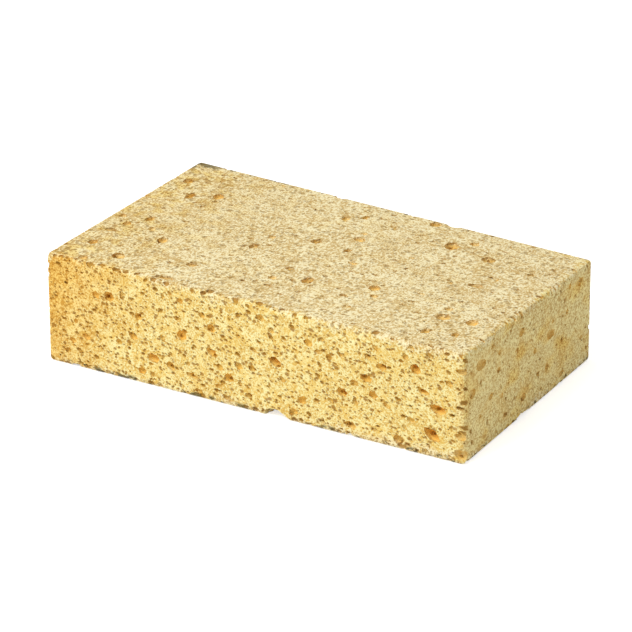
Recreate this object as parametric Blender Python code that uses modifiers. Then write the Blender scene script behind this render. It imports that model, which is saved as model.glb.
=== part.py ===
"""Household cellulose sponge: one soft block with open pores in every face.

The block lies on its largest face. Its length runs along X, its width along Y and its
height along Z, and the origin is the middle of its underside. The long face towards -Y,
the top and the end towards +X carry the pores that were measured. The other faces get
pores of the same sizes by chance, always the same ones for the same seed.
"""

import math
import random
from dataclasses import dataclass

import bmesh
import bpy
from mathutils import Matrix, Vector, noise

MM = 0.001

# The block, over everything
LENGTH = 154.5 * MM
WIDTH = 96.5 * MM
HEIGHT = 39.0 * MM

# How far each corner is drawn in from the outer box: along X, along Y and down
CORNER_DRAW = {
    (-1, -1, -1): (1.5 * MM, 0.0, 0.0),
    (1, -1, -1): (0.0, 2.8 * MM, 0.0),
    (1, 1, -1): (0.3 * MM, 0.3 * MM, 0.0),
    (-1, 1, -1): (0.8 * MM, 0.5 * MM, 0.0),
    (-1, -1, 1): (0.0, 1.0 * MM, 1.0 * MM),
    (1, -1, 1): (1.0 * MM, 1.5 * MM, 0.6 * MM),
    (1, 1, 1): (1.0 * MM, 1.6 * MM, 2.3 * MM),
    (-1, 1, 1): (1.2 * MM, 0.0, 0.0),
}

# Cut edges, and the slow swell of the soft faces between them
EDGE_ROUND = 1.3 * MM
EDGE_SEGMENTS = 2
EDGE_ANGLE = math.radians(40.0)
FACE_CELL = 19.0 * MM
FEWEST_CELLS = 2
SWELL = 0.35 * MM
SWELL_SPAN = 38.0 * MM

# A pore's hollow: its depth as a share of its mean radius, how far its widest place is sunk
# as a share of that depth, and how ragged its wall is as a share of its radius
PORE_DEPTH = 0.95
PORE_SINK = 0.32
PORE_RAGGED = 0.10
PORE_SLANT = math.radians(-17.0)
SLANT_SPREAD = math.radians(14.0)

# Fineness of a pore's rim: small pores have few sides
RIM_STEP = 0.62 * MM
FEWEST_SIDES = 5
MOST_SIDES = 10
FEWEST_RINGS = 3

# Pores by chance: the foam left between two, how far from a face's edges their middles stay,
# the bare patch in the middle of the base, how much commoner the small ones are, and the
# least and most of its length that one is high
PORE_WALL = 0.5 * MM
EDGE_MARGIN = 3.2 * MM
REST_PATCH = 7.0 * MM
SMALL_BIAS = 2.2
FLATTEST = 0.55
ROUNDEST = 0.95
TRIES_FOR_EACH = 60
SEED = 41

COLOUR = (0.80, 0.58, 0.24, 1.0)
ROUGHNESS = 0.95

# How near a share of the block has to be to one of its faces to be on it
ON_FACE = 1e-6


@dataclass(frozen=True)
class Face:
    """One face of the block: its outward side, the two directions that its pores are measured in,
    and their depth as a share of the usual one.
    """

    normal: tuple
    along: tuple
    up: tuple
    depth_share: float = 1.0

    def spans(self):
        """Length of the face in its two directions."""
        block = Vector((LENGTH, WIDTH, HEIGHT))
        return abs(block.dot(Vector(self.along))), abs(block.dot(Vector(self.up)))

    def point(self, along, up):
        """The place on the real, slightly crooked face at two distances from its lower left corner."""
        wide, tall = self.spans()
        share = Vector(self.normal)
        share += Vector(self.along) * (2.0 * along / wide - 1.0)
        share += Vector(self.up) * (2.0 * up / tall - 1.0)
        return on_block(share)


FRONT = Face(normal=(0, -1, 0), along=(1, 0, 0), up=(0, 0, 1))
BACK = Face(normal=(0, 1, 0), along=(-1, 0, 0), up=(0, 0, 1))
RIGHT_END = Face(normal=(1, 0, 0), along=(0, 1, 0), up=(0, 0, 1), depth_share=0.6)
LEFT_END = Face(normal=(-1, 0, 0), along=(0, -1, 0), up=(0, 0, 1))
TOP = Face(normal=(0, 0, 1), along=(1, 0, 0), up=(0, 1, 0), depth_share=0.75)
UNDER = Face(normal=(0, 0, -1), along=(1, 0, 0), up=(0, -1, 0))

# Measured pores, in millimetres: distance from the face's left end, distance up it, length, height
FRONT_PORES = (
    (99.0, 29.8, 3.1, 2.4),
    (86.8, 20.1, 5.0, 3.2),
    (89.3, 14.6, 2.3, 1.7),
    (125.2, 27.7, 3.8, 2.4),
    (137.3, 29.8, 3.8, 3.0),
    (142.4, 35.9, 3.0, 1.8),
    (133.8, 33.4, 2.2, 1.7),
    (120.2, 30.3, 2.2, 1.9),
    (106.5, 26.7, 2.2, 2.0),
    (111.1, 28.2, 1.9, 1.4),
    (111.1, 15.4, 3.6, 2.8),
    (115.6, 20.0, 3.0, 1.7),
    (119.7, 22.4, 4.0, 2.6),
    (122.2, 17.2, 3.2, 2.6),
    (115.8, 13.1, 2.4, 1.5),
    (107.0, 11.3, 2.7, 1.6),
    (96.4, 8.7, 3.1, 2.3),
    (127.2, 14.4, 3.0, 1.6),
    (140.2, 22.6, 4.0, 1.8),
    (145.2, 17.7, 5.6, 3.3),
    (148.9, 27.7, 2.7, 1.8),
    (153.5, 32.8, 4.0, 2.1),
    (143.0, 8.2, 6.2, 3.5),
    (131.3, 3.7, 3.9, 2.8),
    (135.8, 11.6, 3.0, 1.9),
    (133.3, 8.6, 2.1, 1.3),
    (114.1, 4.3, 4.0, 2.3),
    (153.0, 9.8, 4.0, 2.1),
    (153.3, 3.5, 4.8, 3.6),
    (140.9, 1.8, 2.7, 1.6),
    (104.0, 3.0, 2.5, 1.4),
    (93.4, 4.1, 3.2, 1.9),
    (81.3, 4.3, 2.9, 1.7),
    (76.7, 5.7, 2.7, 1.9),
    (73.2, 15.4, 2.8, 2.3),
    (78.3, 15.7, 2.7, 2.2),
    (85.3, 30.8, 2.3, 1.6),
    (81.3, 34.4, 3.0, 2.2),
    (104.0, 32.3, 1.9, 1.5),
    (102.5, 27.7, 2.2, 1.4),
    (135.8, 36.9, 2.2, 1.3),
    (123.2, 33.9, 2.5, 1.4),
    (73.7, 9.0, 2.0, 1.4),
    (122.7, 5.1, 2.2, 1.3),
    (19.2, 28.2, 2.7, 2.4),
    (24.2, 28.7, 4.0, 3.1),
    (29.3, 30.8, 1.9, 1.9),
    (35.3, 24.1, 2.7, 2.5),
    (33.3, 16.6, 3.5, 2.3),
    (15.1, 12.1, 3.0, 1.9),
    (9.6, 9.6, 2.7, 1.9),
    (7.6, 5.5, 2.2, 1.8),
    (27.8, 13.3, 2.7, 2.0),
    (44.4, 18.8, 2.4, 1.7),
    (52.0, 21.3, 3.4, 3.4),
    (51.5, 33.5, 2.4, 2.0),
    (44.9, 33.5, 1.8, 1.6),
    (59.6, 30.3, 2.4, 2.0),
    (63.1, 26.3, 3.1, 2.8),
    (63.2, 17.7, 4.4, 2.1),
    (66.2, 13.3, 2.7, 2.0),
    (69.4, 10.1, 3.6, 2.9),
    (65.6, 6.4, 2.6, 1.5),
    (58.1, 2.7, 3.0, 1.7),
    (68.7, 2.8, 3.6, 1.7),
    (55.9, 7.6, 5.0, 1.6),
    (47.5, 9.2, 3.2, 2.5),
    (54.1, 11.7, 1.8, 1.4),
    (40.9, 10.5, 4.2, 2.9),
    (36.4, 4.7, 3.1, 2.3),
    (40.4, 4.5, 2.0, 1.9),
    (43.2, 1.4, 2.1, 1.5),
    (52.0, 0.6, 2.4, 1.5),
    (23.2, 1.1, 1.9, 1.4),
    (78.8, 22.6, 3.1, 1.4),
    (73.2, 26.0, 1.8, 1.5),
    (50.5, 26.9, 3.0, 1.5),
    (11.1, 16.9, 1.6, 1.8),
)
TOP_PORES = (
    (6.6, 78.0, 3.7, 4.6),
    (14.1, 67.2, 2.9, 5.6),
    (22.7, 71.9, 3.8, 5.2),
    (13.6, 42.6, 2.8, 4.8),
    (18.7, 35.4, 2.8, 3.4),
    (9.1, 35.1, 2.6, 3.4),
    (4.2, 40.0, 2.4, 3.0),
    (7.5, 27.7, 4.0, 2.8),
    (8.1, 15.9, 3.2, 4.2),
    (12.5, 3.3, 3.2, 3.4),
    (21.7, 10.1, 5.0, 4.4),
    (26.8, 29.2, 3.4, 4.8),
    (46.0, 16.6, 4.4, 2.8),
    (44.2, 3.1, 7.2, 2.6),
    (56.3, 51.5, 2.8, 2.4),
    (70.5, 56.5, 3.4, 4.0),
    (55.1, 41.1, 3.0, 4.2),
    (75.7, 15.4, 3.8, 1.6),
    (73.5, 21.8, 3.0, 2.8),
    (84.4, 26.1, 3.6, 5.4),
    (68.9, 79.5, 3.2, 3.6),
    (74.1, 84.2, 2.4, 3.4),
    (81.8, 66.1, 4.6, 3.4),
    (83.0, 55.4, 2.6, 3.2),
    (89.7, 46.8, 3.8, 2.2),
    (105.6, 32.4, 4.0, 4.4),
    (96.9, 93.0, 4.2, 4.6),
    (110.3, 78.6, 5.2, 6.4),
    (115.9, 84.8, 3.4, 3.2),
    (126.0, 75.1, 5.0, 4.6),
    (143.4, 71.5, 2.6, 2.2),
    (134.5, 62.0, 5.4, 1.7),
    (132.3, 52.8, 5.6, 2.8),
    (135.1, 23.6, 5.0, 4.6),
    (100.0, 21.4, 3.2, 1.8),
    (135.5, 10.5, 3.2, 4.2),
    (144.8, 12.9, 2.6, 3.6),
    (145.0, 24.6, 4.0, 4.8),
    (58.1, 95.6, 4.4, 2.4),
    (87.3, 95.8, 3.4, 1.8),
    (102.6, 95.4, 5.0, 2.6),
)
END_PORES = (
    (11.8, 31.3, 6.4, 3.6),
    (41.6, 31.8, 3.8, 3.0),
    (51.8, 21.0, 2.4, 2.6),
    (61.1, 11.1, 2.4, 3.2),
    (43.1, 7.2, 3.6, 3.0),
    (24.6, 24.6, 2.7, 1.8),
    (25.0, 30.6, 2.2, 1.6),
    (19.0, 17.2, 3.0, 1.8),
    (72.9, 4.1, 3.6, 1.9),
    (86.7, 33.9, 4.0, 2.8),
    (63.6, 22.6, 6.6, 3.2),
    (5.7, 23.4, 3.8, 3.6),
    (88.3, 11.9, 1.9, 1.6),
)

# Bites out of the lower edges, in millimetres and degrees: distance from the face's left
# end, length, height with the half that is below the edge, depth, slant down to the right
FRONT_BITES = (
    (87.1, 9.4, 5.6, 4.6, 14.0),
    (10.6, 4.0, 2.0, 3.0, 0.0),
    (113.6, 3.4, 1.6, 2.6, 0.0),
)
END_BITES = (
    (44.6, 11.0, 2.6, 3.6, 8.0),
    (72.0, 3.4, 1.8, 2.6, 0.0),
)


@dataclass(frozen=True)
class ChancePores:
    """Pores that fall by chance on a face: how many, and the shortest and the longest."""

    face: Face
    count: int
    shortest: float
    longest: float


CHANCE_PORES = (
    ChancePores(BACK, 72, 1.8 * MM, 6.0 * MM),
    ChancePores(LEFT_END, 20, 1.9 * MM, 5.4 * MM),
    ChancePores(UNDER, 44, 2.6 * MM, 5.6 * MM),
    ChancePores(TOP, 14, 2.2 * MM, 3.2 * MM),
    ChancePores(RIGHT_END, 9, 1.9 * MM, 2.6 * MM),
)


def on_block(share):
    """The place inside the crooked block for a share of -1 to 1 of its half length, width and height."""
    place = Vector((0.0, 0.0, 0.0))
    for corner, draw in CORNER_DRAW.items():
        sides = Vector(corner)
        weight = 1.0
        for axis in range(3):
            weight *= (1.0 + sides[axis] * share[axis]) / 2.0
        at = Vector((sides.x * LENGTH / 2, sides.y * WIDTH / 2, (sides.z + 1.0) * HEIGHT / 2))
        at.x -= sides.x * draw[0]
        at.y -= sides.y * draw[1]
        at.z -= draw[2]
        place += at * weight
    return place


def collection(name):
    """A new collection in the scene."""
    made = bpy.data.collections.new(name)
    bpy.context.scene.collection.children.link(made)
    return made


def foam_material():
    """Dry yellow cellulose foam: matt all over."""
    material = bpy.data.materials.new("cellulose_foam")
    material.use_nodes = True
    shader = material.node_tree.nodes["Principled BSDF"]
    shader.inputs["Base Color"].default_value = COLOUR
    shader.inputs["Roughness"].default_value = ROUGHNESS
    shader.inputs["Metallic"].default_value = 0.0
    return material


def split_between(bm, axis, cuts):
    """Cut the mesh through by planes square to an axis, at shares from -1 to 1 of it."""
    normal = Vector((0.0, 0.0, 0.0))
    normal[axis] = 1.0
    for cut in range(1, cuts):
        geometry = bm.verts[:] + bm.edges[:] + bm.faces[:]
        share = 2.0 * cut / cuts - 1.0
        bmesh.ops.bisect_plane(bm, geom=geometry, plane_co=normal * share, plane_no=normal)


def swell(place, share):
    """Move a point of a face slowly in or out, by noise that fades to nothing at the block's edges."""
    moved = place.copy()
    for axis in range(3):
        seated = axis == 2 and share[axis] < 0.0
        if abs(share[axis]) < 1.0 - ON_FACE or seated:
            continue
        others = [share[other] for other in range(3) if other != axis]
        fade = (1.0 - others[0] ** 2) * (1.0 - others[1] ** 2)
        wave = noise.noise(place / SWELL_SPAN + Vector((axis, axis, SEED)))
        moved[axis] += math.copysign(SWELL * wave * fade, share[axis])
    return moved


def make_block(parts):
    """The block before its pores: a cube in cells, drawn in at its corners, with round edges."""
    bm = bmesh.new()
    bmesh.ops.create_cube(bm, size=2.0)
    for axis, size in enumerate((LENGTH, WIDTH, HEIGHT)):
        split_between(bm, axis, max(FEWEST_CELLS, round(size / FACE_CELL)))
    for vert in bm.verts:
        share = vert.co.copy()
        vert.co = swell(on_block(share), share)
    mesh = bpy.data.meshes.new("sponge")
    bm.to_mesh(mesh)
    bm.free()
    mesh.shade_smooth()
    mesh.set_sharp_from_angle(angle=EDGE_ANGLE)
    mesh.materials.append(foam_material())
    block = bpy.data.objects.new("sponge", mesh)
    parts.objects.link(block)
    rounding = block.modifiers.new("round_edges", "BEVEL")
    rounding.width = EDGE_ROUND
    rounding.segments = EDGE_SEGMENTS
    rounding.limit_method = "ANGLE"
    rounding.angle_limit = EDGE_ANGLE
    return block


def flat_share(sides):
    """Mean radius of a regular shape of flat sides, as a share of the round one through its corners."""
    return math.sqrt(math.sin(math.tau / sides) * sides / math.tau)


@dataclass(frozen=True)
class Pore:
    """One opening: where it is on the block, and how long, high, deep and slanted it is."""

    face: Face
    centre: Vector
    length: float
    height: float
    depth: float
    slant: float

    def sides(self):
        """Number of sides of the pore's rim."""
        return min(max(round(self.length / RIM_STEP), FEWEST_SIDES), MOST_SIDES)

    def rings(self):
        """Number of bands that the pore's hollow has from pole to pole."""
        return max(FEWEST_RINGS, self.sides() // 2)

    def spread(self):
        """How much wider the ball is than its opening, which is above its middle and has flat sides."""
        opening = math.sqrt(1.0 - PORE_SINK ** 2)
        return 1.0 / (opening * flat_share(self.sides()) * flat_share(2 * self.rings()))

    def radii(self):
        """Half the length, height and depth of the hollow, which is a flattened ball."""
        wide = self.spread() / 2.0
        return self.length * wide, self.height * wide, self.depth

    def axes(self):
        """The directions of the hollow's length, height and depth."""
        out = Vector(self.face.normal)
        slanted = Matrix.Rotation(self.slant, 3, out)
        return slanted @ Vector(self.face.along), slanted @ Vector(self.face.up), out

    def reach(self, way):
        """How far the hollow goes in a direction."""
        return math.hypot(*(radius * axis.dot(way) for radius, axis in zip(self.radii(), self.axes())))

    def clear_of(self, others):
        """Whether a wall of foam is left between this pore and each of the others."""
        for other in others:
            apart = other.centre - self.centre
            way = apart.normalized()
            if apart.length < self.reach(way) + other.reach(way) + PORE_WALL:
                return False
        return True

    def cut_into(self, bm, chance):
        """Add the pore's hollow to a mesh as a ragged, slanted ball that is sunk below the face."""
        made = bmesh.ops.create_uvsphere(bm, u_segments=self.sides(), v_segments=self.rings(), radius=1.0)
        ball = made["verts"]
        turned = Matrix.Rotation(chance.uniform(0.0, math.tau), 3, "Z")
        radii = self.radii()
        axes = self.axes()
        middle = self.centre - axes[2] * (PORE_SINK * radii[2])
        for vert in ball:
            local = (turned @ vert.co) * chance.uniform(1.0 - PORE_RAGGED, 1.0 + PORE_RAGGED)
            vert.co = middle
            for axis, radius, share in zip(axes, radii, local):
                vert.co += axis * (radius * share)


def pore_at(face, centre, length, height, chance):
    """A pore of the usual depth, which slants down towards +X on the two long sides."""
    depth = face.depth_share * PORE_DEPTH * (length + height) / 4.0
    slant = chance.uniform(-SLANT_SPREAD, SLANT_SPREAD)
    if face in (FRONT, BACK):
        slant += PORE_SLANT * face.along[0]
    return Pore(face, centre, length, height, depth, slant)


def edge_bites():
    """The bites that are out of the lower edges of the two seen sides."""
    bites = []
    for face, rows in ((FRONT, FRONT_BITES), (RIGHT_END, END_BITES)):
        for along, length, height, depth, slant in rows:
            centre = face.point(along * MM, 0.0)
            slanted = -math.radians(slant)
            bites.append(Pore(face, centre, length * MM, height * MM, depth * MM, slanted))
    return bites


def add_measured_pores(pores, chance):
    """Add the pores that were measured on the three seen faces, none touching another."""
    for face, rows in ((FRONT, FRONT_PORES), (TOP, TOP_PORES), (RIGHT_END, END_PORES)):
        for along, up, length, height in rows:
            pore = pore_at(face, face.point(along * MM, up * MM), length * MM, height * MM, chance)
            if pore.clear_of(pores):
                pores.append(pore)


def add_chance_pores(pores, chance):
    """Add the pores that fall by chance, each clear of the rest and of the middle of the base."""
    for group in CHANCE_PORES:
        wide, tall = group.face.spans()
        wanted = len(pores) + group.count
        tries = 0
        while len(pores) < wanted and tries < TRIES_FOR_EACH * group.count:
            tries += 1
            share = chance.random() ** SMALL_BIAS
            length = group.shortest + share * (group.longest - group.shortest)
            height = length * chance.uniform(FLATTEST, ROUNDEST)
            along = chance.uniform(EDGE_MARGIN, wide - EDGE_MARGIN)
            centre = group.face.point(along, chance.uniform(EDGE_MARGIN, tall - EDGE_MARGIN))
            pore = pore_at(group.face, centre, length, height, chance)
            if centre.length > REST_PATCH and pore.clear_of(pores):
                pores.append(pore)


def make_pores(cutters):
    """All the pores as one cutter."""
    chance = random.Random(SEED)
    pores = edge_bites()
    add_measured_pores(pores, chance)
    add_chance_pores(pores, chance)
    bm = bmesh.new()
    for pore in pores:
        pore.cut_into(bm, chance)
    mesh = bpy.data.meshes.new("pores")
    bm.to_mesh(mesh)
    bm.free()
    mesh.shade_smooth()
    cutter = bpy.data.objects.new("pores", mesh)
    cutter.hide_render = True
    cutter.display_type = "WIRE"
    cutters.objects.link(cutter)
    return cutter


def main():
    """Build the sponge."""
    for leftover in list(bpy.data.objects):
        bpy.data.objects.remove(leftover, do_unlink=True)
    block = make_block(collection("cellulose_sponge"))
    cut = block.modifiers.new("open_pores", "BOOLEAN")
    cut.operation = "DIFFERENCE"
    cut.solver = "EXACT"
    cut.object = make_pores(collection("cutters"))


main()
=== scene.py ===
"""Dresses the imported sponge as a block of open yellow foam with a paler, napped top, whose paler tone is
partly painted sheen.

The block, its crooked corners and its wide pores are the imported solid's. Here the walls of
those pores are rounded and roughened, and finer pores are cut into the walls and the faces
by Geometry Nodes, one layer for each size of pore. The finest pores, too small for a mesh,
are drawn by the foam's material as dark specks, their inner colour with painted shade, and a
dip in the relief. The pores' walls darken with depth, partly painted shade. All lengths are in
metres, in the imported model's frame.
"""

import logging
import math
from dataclasses import dataclass, field
from enum import Enum

import bmesh
import bpy
from mathutils import Matrix, Vector, noise
from mathutils.bvhtree import BVHTree


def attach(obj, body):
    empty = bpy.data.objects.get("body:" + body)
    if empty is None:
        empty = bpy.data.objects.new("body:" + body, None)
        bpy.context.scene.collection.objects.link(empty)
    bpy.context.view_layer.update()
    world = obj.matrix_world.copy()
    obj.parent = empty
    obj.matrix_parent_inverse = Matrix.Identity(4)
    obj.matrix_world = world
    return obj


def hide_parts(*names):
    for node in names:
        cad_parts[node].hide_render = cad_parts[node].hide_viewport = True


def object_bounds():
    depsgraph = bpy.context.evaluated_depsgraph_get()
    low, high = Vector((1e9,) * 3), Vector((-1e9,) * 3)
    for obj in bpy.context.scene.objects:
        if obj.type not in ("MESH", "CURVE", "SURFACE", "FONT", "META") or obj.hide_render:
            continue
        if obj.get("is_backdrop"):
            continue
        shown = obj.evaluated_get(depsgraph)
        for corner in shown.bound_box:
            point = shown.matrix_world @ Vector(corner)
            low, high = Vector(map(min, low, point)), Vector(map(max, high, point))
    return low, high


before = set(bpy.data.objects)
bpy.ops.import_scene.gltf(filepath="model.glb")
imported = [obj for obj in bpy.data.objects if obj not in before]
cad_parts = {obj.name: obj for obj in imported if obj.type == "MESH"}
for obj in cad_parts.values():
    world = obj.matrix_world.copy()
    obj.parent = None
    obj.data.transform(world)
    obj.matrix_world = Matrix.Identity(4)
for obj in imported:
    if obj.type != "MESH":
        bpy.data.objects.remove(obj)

log = logging.getLogger("sponge")

MM = 0.001
NODE = "sponge"
BODY = "root"
DEPTH_ATTRIBUTE = "pore_depth"
EDGE_ATTRIBUTE = "block_edge"
WALL_ATTRIBUTE = "wide_pore_wall"

Triple = tuple[float, float, float]
Colour = tuple[float, float, float, float]


def linear(red: int, green: int, blue: int) -> Colour:
    """Turns a colour as a screen shows it into the one that a shader takes.

    Args:
        red: The red part, from 0 to 255.
        green: The green part, from 0 to 255.
        blue: The blue part, from 0 to 255.

    Returns:
        The linear colour, opaque.
    """
    parts = [part / 255 for part in (red, green, blue)]
    curved = [p / 12.92 if p <= 0.04045 else ((p + 0.055) / 1.055) ** 2.4 for p in parts]
    return (curved[0], curved[1], curved[2], 1.0)


def outward(azimuth: float, elevation: float) -> Vector:
    """Gives the way out from the sponge for one angle round it and one above it.

    Args:
        azimuth: The angle from the front towards the right-hand end.
        elevation: The angle up from the floor.

    Returns:
        The direction, one long.
    """
    level = math.cos(elevation)
    return Vector((math.sin(azimuth) * level, -math.cos(azimuth) * level, math.sin(elevation)))


class Maths(Enum):
    """The sums that a Math node is asked for here."""

    ADD = "ADD"
    SUBTRACT = "SUBTRACT"
    MULTIPLY = "MULTIPLY"
    DIVIDE = "DIVIDE"
    POWER = "POWER"
    MINIMUM = "MINIMUM"
    MAXIMUM = "MAXIMUM"
    ABSOLUTE = "ABSOLUTE"


class Graph:
    """A node tree that is filled from Python."""

    def __init__(self, tree: bpy.types.NodeTree) -> None:
        """Keeps the tree and clears it."""
        self.tree = tree
        self.tree.nodes.clear()

    def node(self, kind: str, settings: dict | None = None, inputs: dict | None = None) -> bpy.types.Node:
        """Adds one node.

        Args:
            kind: Blender's own name for the type of node.
            settings: The node's choices, which are made before its sockets are fed.
            inputs: A value or a link for each socket, by the socket's name or number.

        Returns:
            The node.
        """
        made = self.tree.nodes.new(kind)
        for name, choice in (settings or {}).items():
            setattr(made, name, choice)
        for name, value in (inputs or {}).items():
            self.feed(made.inputs[name], value)
        return made

    def feed(self, socket: bpy.types.NodeSocket, value: object) -> None:
        """Links a socket, or sets its value.

        Args:
            socket: The socket to feed.
            value: A number of this tree, another node's socket, or a plain value.
        """
        if isinstance(value, Number):
            value = value.socket
        if isinstance(value, bpy.types.NodeSocket):
            self.tree.links.new(value, socket)
        else:
            socket.default_value = value

    def number(self, kind: str, output: str | int, settings: dict | None = None,
               inputs: dict | None = None) -> "Number":
        """Adds one node and takes a number from it.

        Args:
            kind: Blender's own name for the type of node.
            output: The socket that the number leaves by.
            settings: The node's choices.
            inputs: A value or a link for each socket.

        Returns:
            The number.
        """
        return Number(self, self.node(kind, settings, inputs).outputs[output])

    def parts(self, vector: bpy.types.NodeSocket) -> tuple["Number", "Number", "Number"]:
        """Takes a vector apart.

        Args:
            vector: The vector.

        Returns:
            Its three parts.
        """
        split = self.node("ShaderNodeSeparateXYZ", None, {0: vector})
        across, deep, high = (Number(self, output) for output in split.outputs)
        return across, deep, high


class Number:
    """A number in a node tree, so that sums on it are written as Python."""

    def __init__(self, graph: Graph, socket: bpy.types.NodeSocket) -> None:
        """Wraps the socket that the number leaves by."""
        self.graph = graph
        self.socket = socket

    def sum(self, kind: Maths, first: object, second: object = 0.0) -> "Number":
        """Adds a Math node and gives what it works out."""
        return self.graph.number("ShaderNodeMath", 0, {"operation": kind.value}, {0: first, 1: second})

    def __add__(self, other: object) -> "Number":
        """Adds."""
        return self.sum(Maths.ADD, self, other)

    def __radd__(self, other: object) -> "Number":
        """Adds, with the plain number first."""
        return self.sum(Maths.ADD, other, self)

    def __sub__(self, other: object) -> "Number":
        """Subtracts."""
        return self.sum(Maths.SUBTRACT, self, other)

    def __rsub__(self, other: object) -> "Number":
        """Subtracts from a plain number."""
        return self.sum(Maths.SUBTRACT, other, self)

    def __mul__(self, other: object) -> "Number":
        """Multiplies."""
        return self.sum(Maths.MULTIPLY, self, other)

    def __rmul__(self, other: object) -> "Number":
        """Multiplies, with the plain number first."""
        return self.sum(Maths.MULTIPLY, other, self)

    def __truediv__(self, other: object) -> "Number":
        """Divides."""
        return self.sum(Maths.DIVIDE, self, other)

    def __rtruediv__(self, other: object) -> "Number":
        """Divides a plain number."""
        return self.sum(Maths.DIVIDE, other, self)

    def __pow__(self, other: object) -> "Number":
        """Raises to a power."""
        return self.sum(Maths.POWER, self, other)

    def __abs__(self) -> "Number":
        """Drops the sign."""
        return self.sum(Maths.ABSOLUTE, self)

    def at_most(self, other: object) -> "Number":
        """Gives the smaller of the two."""
        return self.sum(Maths.MINIMUM, self, other)

    def at_least(self, other: object) -> "Number":
        """Gives the larger of the two."""
        return self.sum(Maths.MAXIMUM, self, other)

    def ramp(self, start: float, end: float, low: object = 0.0, high: object = 1.0) -> "Number":
        """Eases from one value to another.

        Args:
            start: Where the easing starts.
            end: Where it ends, below the start where the values are to fall.
            low: The value up to the start.
            high: The value from the end on.

        Returns:
            The eased number.
        """
        backwards = start > end
        ends = (end, start, high, low) if backwards else (start, end, low, high)
        values = {0: self, 1: ends[0], 2: ends[1], 3: ends[2], 4: ends[3]}
        return self.graph.number("ShaderNodeMapRange", 0, {"interpolation_type": "SMOOTHSTEP"}, values)


@dataclass(frozen=True)
class Cloud:
    """One soft random pattern."""

    size: float  # how wide one patch is
    detail: float  # how many finer patterns lie over the first
    shift: float  # what sets it apart from the other patterns


@dataclass(frozen=True)
class Spots:
    """One scatter of soft-edged spots of uneven shape."""

    size: float  # how far apart they lie
    reach: float  # the widest radius against that distance
    rare: float = 0.0  # the share of them that is left out


class ShaderGraph(Graph):
    """A material's node tree, with the patterns that the foam is made of."""

    MEAN = 0.5  # what a random pattern is on the whole
    RAGGED = 0.45  # how far a spot's rim strays, against the spots' distance
    SMALLEST = 0.001
    RIM = (1.0, 0.5)  # where a spot starts and where it is full, against its radius

    def place(self) -> bpy.types.NodeSocket:
        """Gives the place on the piece."""
        return self.node("ShaderNodeTexCoord").outputs["Object"]

    def blend(self, share: object, first: object, second: object) -> bpy.types.NodeSocket:
        """Mixes two colours.

        Args:
            share: How much of the second colour there is, from 0 to 1.
            first: The colour at 0.
            second: The colour at 1.

        Returns:
            The mixed colour.
        """
        mixer = self.node("ShaderNodeMix", {"data_type": "RGBA"}, {0: share, 6: first, 7: second})
        return mixer.outputs[2]

    def stretched(self, lengths: Triple, turn: Triple = (0.0, 0.0, 0.0)) -> bpy.types.NodeSocket:
        """Gives the place on the piece in axes along which patterns come out longer.

        Args:
            lengths: How many times as long a pattern is along each axis.
            turn: How far the axes are turned about X, Y and Z.

        Returns:
            The place in those axes.
        """
        inputs = {"Vector": self.place(), "Rotation": turn, "Scale": lengths}
        return self.node("ShaderNodeMapping", {"vector_type": "TEXTURE"}, inputs).outputs[0]

    def spots(self, kind: Spots, where: object) -> Number:
        """Scatters soft-edged spots.

        Args:
            kind: The spots.
            where: The place that they are read at.

        Returns:
            1 inside a spot and 0 between the spots.
        """
        bend = self.node("ShaderNodeTexNoise", None,
                         {"Vector": where, "Scale": 1 / kind.size, "Detail": 1.0})
        bend = self.node("ShaderNodeVectorMath", {"operation": "SCALE"},
                         {0: bend.outputs["Color"], "Scale": self.RAGGED * kind.size})
        bent = self.node("ShaderNodeVectorMath", None, {0: where, 1: bend.outputs[0]})
        cells = self.node("ShaderNodeTexVoronoi", None, {"Vector": bent.outputs[0], "Scale": 1 / kind.size})
        draw = self.number("ShaderNodeSeparateColor", 0, None, {0: cells.outputs["Color"]})
        radius = (draw - kind.rare).at_least(self.SMALLEST) * kind.reach
        return (Number(self, cells.outputs["Distance"]) / radius).ramp(*self.RIM)

    def cloud(self, kind: Cloud, where: object = None) -> Number:
        """Makes a soft random pattern.

        Args:
            kind: The pattern.
            where: The place that it is read at, if not the place on the piece.

        Returns:
            The pattern, about MEAN on the whole.
        """
        inputs = {
            "Vector": where or self.place(),
            "Scale": 1 / kind.size,
            "Detail": kind.detail,
            "W": kind.shift,
        }
        return self.number("ShaderNodeTexNoise", 0, {"noise_dimensions": "4D"}, inputs)


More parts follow.
